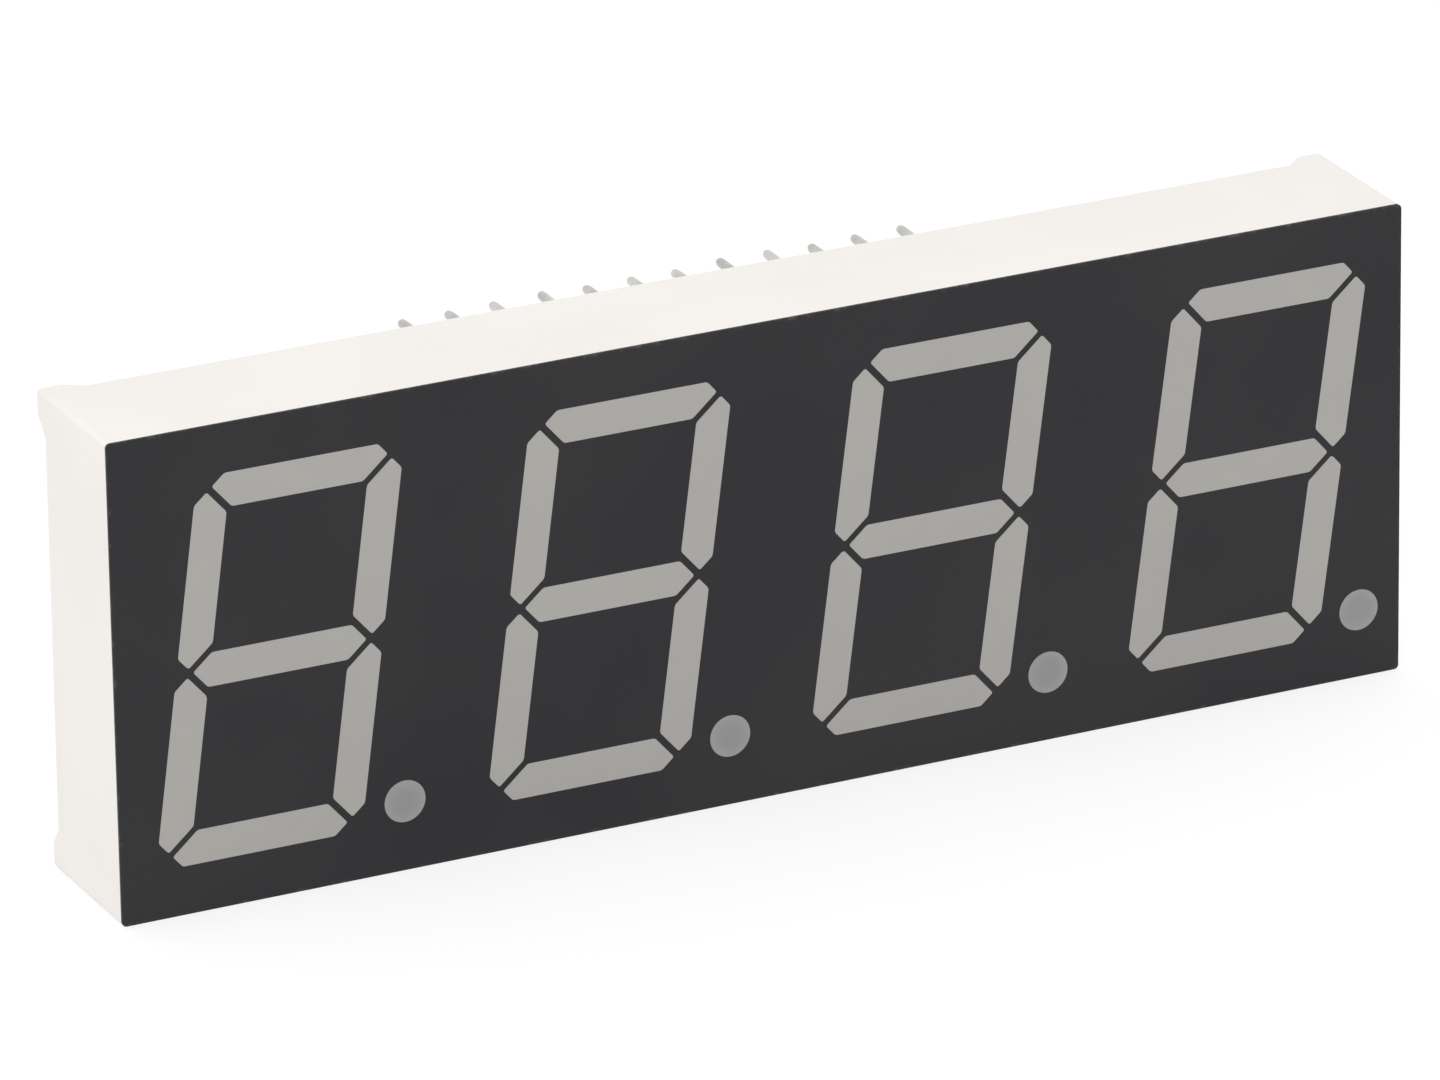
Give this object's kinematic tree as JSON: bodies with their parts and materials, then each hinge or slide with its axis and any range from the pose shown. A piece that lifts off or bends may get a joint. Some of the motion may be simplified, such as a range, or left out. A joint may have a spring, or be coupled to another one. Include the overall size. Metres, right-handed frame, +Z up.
{
  "type": "seven-segment LED display",
  "caption": "Flat white-bodied LED number display with a dark grey face, slanted seven-segment digits with decimal points, corner feet and a row of solder pins at the back.",
  "frame": {"origin": "bottom centre of the whole part's box, pins included", "axes": "+X along the row of digits, from the first to the last; +Y from the face back to the pins; +Z up the digits"},
  "size_m": [0.0718, 0.0134, 0.0256],
  "materials": {
    "housing_plastic": "white moulded plastic, satin",
    "face_film": "dark grey film, matte",
    "segment_resin": "milky cast resin, satin",
    "point_resin": "milky cast resin, satin",
    "board_laminate": "glass laminate board with its tracks",
    "potting_resin": "cloudy cast resin, smooth",
    "solder": "dull tin solder",
    "led_chip": "sawn crystal, glossy",
    "bond_wire": "drawn gold wire",
    "tinned_pin": "tin-plated wire, dull"
  },
  "bodies": {
    "root": {"reflector_housing": "housing_plastic", "face_film": "face_film", "circuit_board": "board_laminate", "rear_resin": "potting_resin", "solder_joints": "solder", "digit_1_segment_a": "segment_resin", "digit_1_segment_b": "segment_resin", "digit_1_segment_c": "segment_resin", "digit_1_segment_d": "segment_resin", "digit_1_segment_e": "segment_resin", "digit_1_segment_f": "segment_resin", "digit_1_segment_g": "segment_resin", "digit_2_segment_a": "segment_resin", "digit_2_segment_b": "segment_resin", "digit_2_segment_c": "segment_resin", "digit_2_segment_d": "segment_resin", "digit_2_segment_e": "segment_resin", "digit_2_segment_f": "segment_resin", "digit_2_segment_g": "segment_resin", "digit_3_segment_a": "segment_resin", "digit_3_segment_b": "segment_resin", "digit_3_segment_c": "segment_resin", "digit_3_segment_d": "segment_resin", "digit_3_segment_e": "segment_resin", "digit_3_segment_f": "segment_resin", "digit_3_segment_g": "segment_resin", "digit_4_segment_a": "segment_resin", "digit_4_segment_b": "segment_resin", "digit_4_segment_c": "segment_resin", "digit_4_segment_d": "segment_resin", "digit_4_segment_e": "segment_resin", "digit_4_segment_f": "segment_resin", "digit_4_segment_g": "segment_resin", "digit_1_point": "point_resin", "digit_2_point": "point_resin", "digit_3_point": "point_resin", "digit_4_point": "point_resin", "led_chips_digit_1": "led_chip", "led_chips_digit_2": "led_chip", "led_chips_digit_3": "led_chip", "led_chips_digit_4": "led_chip", "bond_wires_digit_1": "bond_wire", "bond_wires_digit_2": "bond_wire", "bond_wires_digit_3": "bond_wire", "bond_wires_digit_4": "bond_wire", "pin_1": "tinned_pin", "pin_2": "tinned_pin", "pin_3": "tinned_pin", "pin_4": "tinned_pin", "pin_5": "tinned_pin", "pin_6": "tinned_pin", "pin_7": "tinned_pin", "pin_8": "tinned_pin", "pin_9": "tinned_pin", "pin_10": "tinned_pin", "pin_11": "tinned_pin", "pin_12": "tinned_pin"}
  },
  "joints": []
}
